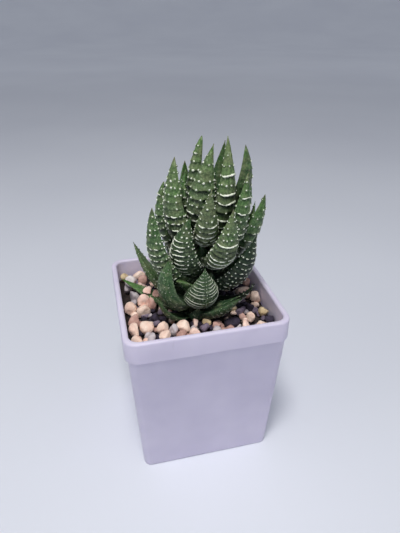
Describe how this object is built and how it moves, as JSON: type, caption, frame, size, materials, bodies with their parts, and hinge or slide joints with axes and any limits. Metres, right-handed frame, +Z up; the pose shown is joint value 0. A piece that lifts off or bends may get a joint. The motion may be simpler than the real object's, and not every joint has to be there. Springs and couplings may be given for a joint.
{
  "type": "potted haworthia",
  "caption": "Upright succulent rosette with white tubercle bands and a small offset, growing in a gravel-dressed square tapered nursery pot.",
  "frame": {"origin": "centre of the pot's flat underside, on the surface that it stands on", "axes": "+Z up through the pot, -Y towards the pot's front face, +X to the right as seen from the front"},
  "size_m": [0.07, 0.07, 0.1494],
  "materials": {
    "pot_plastic": "smooth satin pale lilac-white moulded plastic",
    "potting_mix": "dark damp crumbly potting mix",
    "pebbles": "dry matte tan, peach, grey and dark pebbles",
    "stem_bark": "dull green-brown succulent stem",
    "leaf_skin": "satin deep green leaf skin with raised white tubercles in cross bands"
  },
  "bodies": {
    "root": {"pot": "pot_plastic", "soil": "potting_mix", "gravel": "pebbles", "stem": "stem_bark", "offset_stem": "stem_bark", "leaf_01": "leaf_skin", "leaf_02": "leaf_skin", "leaf_03": "leaf_skin", "leaf_04": "leaf_skin", "leaf_05": "leaf_skin", "leaf_06": "leaf_skin", "leaf_07": "leaf_skin", "leaf_08": "leaf_skin", "leaf_09": "leaf_skin", "leaf_10": "leaf_skin", "leaf_11": "leaf_skin", "leaf_12": "leaf_skin", "leaf_13": "leaf_skin", "leaf_14": "leaf_skin", "leaf_15": "leaf_skin", "leaf_16": "leaf_skin", "leaf_17": "leaf_skin", "leaf_18": "leaf_skin", "leaf_19": "leaf_skin", "leaf_20": "leaf_skin", "leaf_21": "leaf_skin", "leaf_22": "leaf_skin", "leaf_23": "leaf_skin", "leaf_24": "leaf_skin", "leaf_25": "leaf_skin", "leaf_26": "leaf_skin", "leaf_27": "leaf_skin", "leaf_28": "leaf_skin", "leaf_29": "leaf_skin", "leaf_30": "leaf_skin", "leaf_31": "leaf_skin", "leaf_32": "leaf_skin", "leaf_33": "leaf_skin", "leaf_34": "leaf_skin", "leaf_35": "leaf_skin", "leaf_36": "leaf_skin", "leaf_37": "leaf_skin", "offset_leaf_01": "leaf_skin", "offset_leaf_02": "leaf_skin", "offset_leaf_03": "leaf_skin", "offset_leaf_04": "leaf_skin", "offset_leaf_05": "leaf_skin", "offset_leaf_06": "leaf_skin", "offset_leaf_07": "leaf_skin", "offset_leaf_08": "leaf_skin", "offset_leaf_09": "leaf_skin"}
  },
  "joints": []
}
